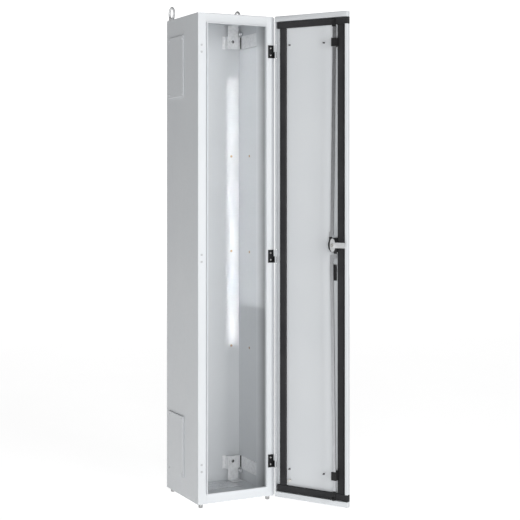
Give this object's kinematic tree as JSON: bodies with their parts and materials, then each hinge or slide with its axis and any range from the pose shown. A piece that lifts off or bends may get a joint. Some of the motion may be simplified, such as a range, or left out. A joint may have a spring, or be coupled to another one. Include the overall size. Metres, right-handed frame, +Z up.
{
  "type": "switchboard cabinet",
  "caption": "Narrow floor-standing steel enclosure with a gasketed hinged door, three-point rod lock, lifting eyes, mounting brackets and side cable-entry covers.",
  "frame": {"origin": "middle of the floor panel's underside", "axes": "+Z up along the height, -Y out of the door opening, +X to the hinge side"},
  "size_m": [0.4839, 0.6046, 1.8716],
  "materials": {
    "grey_paint": "fine-textured light grey powder coat",
    "zinc": "bright zinc plate",
    "steel": "plated steel, satin",
    "hinge_black": "black powder coat on cast metal",
    "black_plastic": "moulded black plastic",
    "black_rubber": "foamed sealing strip"
  },
  "bodies": {
    "cabinet": {"left_side_panel": "grey_paint", "right_side_panel": "grey_paint", "roof_panel": "grey_paint", "floor_panel": "grey_paint", "back_panel": "grey_paint", "rain_lip": "grey_paint", "left_post": "grey_paint", "right_post": "grey_paint", "side_cover_left_lower": "grey_paint", "side_cover_left_upper": "grey_paint", "side_cover_right_lower": "grey_paint", "side_cover_right_upper": "grey_paint", "gland_plate_front": "zinc", "gland_plate_rear": "zinc", "lifting_eye_left": "zinc", "lifting_eye_right": "zinc", "foot_front_left": "steel", "foot_front_right": "steel", "foot_rear_left": "steel", "foot_rear_right": "steel", "corner_bracket_left_lower": "zinc", "corner_bracket_left_upper": "zinc", "corner_bracket_right_lower": "zinc", "corner_bracket_right_upper": "zinc", "side_rail_left_lower": "zinc", "side_rail_left_upper": "zinc", "side_rail_right_lower": "zinc", "side_rail_right_upper": "zinc", "hinge_leaf_lower": "hinge_black", "hinge_leaf_middle": "hinge_black", "hinge_leaf_upper": "hinge_black", "hinge_pin_lower": "steel", "hinge_pin_middle": "steel", "hinge_pin_upper": "steel"},
    "door": {"door_panel": "grey_paint", "gasket_bottom": "black_rubber", "gasket_top": "black_rubber", "gasket_free_side": "black_rubber", "gasket_hinge_side": "black_rubber", "hinge_knuckle_lower": "grey_paint", "hinge_knuckle_middle": "grey_paint", "hinge_knuckle_upper": "grey_paint", "lock_base": "black_plastic", "rod_guide_lower": "black_plastic", "rod_guide_upper": "black_plastic", "handle_dish": "black_plastic", "handle_clamp": "black_plastic", "earth_stud": "steel"},
    "handle": {"handle_hub": "hinge_black", "lock_cam": "zinc", "cam_screw": "steel", "lever_pin": "steel"},
    "lever": {"handle_lever": "hinge_black"},
    "key": {"key_cylinder": "steel"},
    "upper_rod": {"upper_rod": "zinc", "upper_rod_end": "black_plastic"},
    "lower_rod": {"lower_rod": "zinc", "lower_rod_end": "black_plastic"},
    "upper_roller": {"upper_roller": "black_plastic"},
    "lower_roller": {"lower_roller": "black_plastic"}
  },
  "joints": [
    {"name": "door_hinge", "type": "hinge", "parent": "cabinet", "child": "door", "pos_m": [0.156, -0.163, 0.9], "axis": [0, 0, 1], "range_deg": [-121, 9]},
    {"name": "handle_turn", "type": "hinge", "parent": "door", "child": "handle", "pos_m": [0.27763, -0.39067, 0.95], "axis": [-0.8572, -0.515, 0], "range_deg": [0, 90]},
    {"name": "handle_lift", "type": "hinge", "parent": "handle", "child": "lever", "pos_m": [0.31025, -0.37108, 0.95], "axis": [0.515, -0.8572, 0], "range_deg": [0, 30]},
    {"name": "key_turn", "type": "hinge", "parent": "lever", "child": "key", "pos_m": [0.31025, -0.37108, 0.868], "axis": [-0.8572, -0.515, 0], "range_deg": [0, 90]},
    {"name": "upper_rod_slide", "type": "slide", "parent": "door", "child": "upper_rod", "axis": [-0.007, 0.0116, -0.9999], "range_m": [0, 0.016]},
    {"name": "lower_rod_slide", "type": "slide", "parent": "door", "child": "lower_rod", "axis": [-0.007, 0.0116, 0.9999], "range_m": [0, 0.016]},
    {"name": "upper_roller_spin", "type": "hinge", "parent": "upper_rod", "child": "upper_roller", "pos_m": [0.26991, -0.40325, 1.76849], "axis": [-0.515, 0.8571, 0.0136], "continuous": true},
    {"name": "lower_roller_spin", "type": "hinge", "parent": "lower_rod", "child": "lower_roller", "pos_m": [0.26991, -0.40325, 0.03151], "axis": [-0.515, 0.8571, -0.0136], "continuous": true}
  ],
  "couplings": [
    {"joint": "upper_rod_slide", "follows": "handle_turn", "m_per_rad": 0.010186},
    {"joint": "lower_rod_slide", "follows": "handle_turn", "m_per_rad": 0.010186}
  ]
}
